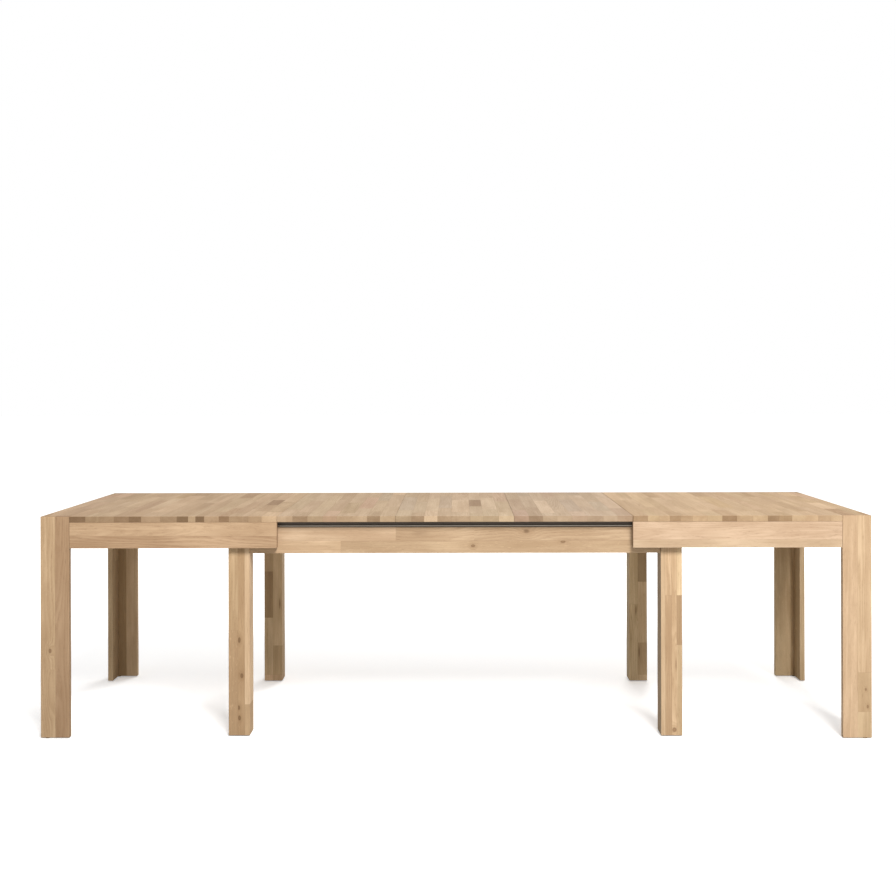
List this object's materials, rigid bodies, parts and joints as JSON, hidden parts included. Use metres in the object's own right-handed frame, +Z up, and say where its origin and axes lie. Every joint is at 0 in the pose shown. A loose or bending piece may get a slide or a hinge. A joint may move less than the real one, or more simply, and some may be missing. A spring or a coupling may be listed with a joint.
{
  "type": "extendable dining table",
  "caption": "Long solid oak dining table drawn out to full length, with sliding ends on L-shaped corner legs, a fixed centre frame on square legs and loose leaves.",
  "frame": {"origin": "on the floor under the middle of the table, drawn out to its full length", "axes": "+Z up, +X along the table to the right as seen from the front, +Y towards the rear"},
  "size_m": [2.8, 0.85, 0.75],
  "materials": {
    "oak_top": "oiled oak staves, matt",
    "oak_leg": "oiled oak staves, matt",
    "oak_apron": "oiled oak staves, matt",
    "oak_underframe": "planed oak, matt",
    "guide_rail": "dark satin rail with a bare metal lip",
    "runner": "satin",
    "stop_bolt": "zinc plated",
    "glide": "matt"
  },
  "bodies": {
    "centre_frame": {"centre_leg_front_left": "oak_leg", "centre_leg_front_right": "oak_leg", "centre_leg_rear_left": "oak_leg", "centre_leg_rear_right": "oak_leg", "centre_apron_front": "oak_apron", "centre_apron_rear": "oak_apron", "centre_apron_left": "oak_apron", "centre_apron_right": "oak_apron", "centre_brace_left": "oak_underframe", "centre_brace_right": "oak_underframe", "guide_rail_front": "guide_rail", "guide_rail_rear": "guide_rail", "centre_glide_front_left": "glide", "centre_glide_front_right": "glide", "centre_glide_rear_left": "glide", "centre_glide_rear_right": "glide"},
    "left_end": {"left_top": "oak_top", "left_apron_front": "oak_apron", "left_apron_rear": "oak_apron", "left_apron_end": "oak_apron", "left_leg_front_face": "oak_leg", "left_leg_front_side": "oak_leg", "left_runner_front": "runner", "left_stop_front": "stop_bolt", "left_batten_front": "oak_underframe", "left_glide_front": "glide", "left_leg_rear_face": "oak_leg", "left_leg_rear_side": "oak_leg", "left_runner_rear": "runner", "left_stop_rear": "stop_bolt", "left_batten_rear": "oak_underframe", "left_glide_rear": "glide"},
    "right_end": {"right_top": "oak_top", "right_apron_front": "oak_apron", "right_apron_rear": "oak_apron", "right_apron_end": "oak_apron", "right_leg_front_face": "oak_leg", "right_leg_front_side": "oak_leg", "right_runner_front": "runner", "right_stop_front": "stop_bolt", "right_batten_front": "oak_underframe", "right_glide_front": "glide", "right_leg_rear_face": "oak_leg", "right_leg_rear_side": "oak_leg", "right_runner_rear": "runner", "right_stop_rear": "stop_bolt", "right_batten_rear": "oak_underframe", "right_glide_rear": "glide"},
    "leaf_left": {"leaf_left": "oak_top", "leaf_left_batten_front": "oak_underframe", "leaf_left_batten_rear": "oak_underframe"},
    "leaf_centre": {"leaf_centre": "oak_top", "leaf_centre_batten_front": "oak_underframe", "leaf_centre_batten_rear": "oak_underframe"},
    "leaf_right": {"leaf_right": "oak_top", "leaf_right_batten_front": "oak_underframe", "leaf_right_batten_rear": "oak_underframe"}
  },
  "joints": [
    {"name": "left_end_slide", "type": "slide", "parent": "centre_frame", "child": "left_end", "axis": [1, 0, 0], "range_m": [0, 0.6]},
    {"name": "right_end_slide", "type": "slide", "parent": "centre_frame", "child": "right_end", "axis": [-1, 0, 0], "range_m": [0, 0.6]},
    {"name": "leaf_left_lift", "type": "slide", "parent": "centre_frame", "child": "leaf_left", "axis": [0, 0, 1], "range_m": [0, 0.45]},
    {"name": "leaf_centre_lift", "type": "slide", "parent": "centre_frame", "child": "leaf_centre", "axis": [0, 0, 1], "range_m": [0, 0.45]},
    {"name": "leaf_right_lift", "type": "slide", "parent": "centre_frame", "child": "leaf_right", "axis": [0, 0, 1], "range_m": [0, 0.45]}
  ],
  "couplings": [
    {"joint": "right_end_slide", "follows": "left_end_slide", "ratio": 1},
    {"joint": "leaf_left_lift", "follows": "left_end_slide", "ratio": 0.75},
    {"joint": "leaf_centre_lift", "follows": "left_end_slide", "ratio": 0.75},
    {"joint": "leaf_right_lift", "follows": "left_end_slide", "ratio": 0.75}
  ]
}
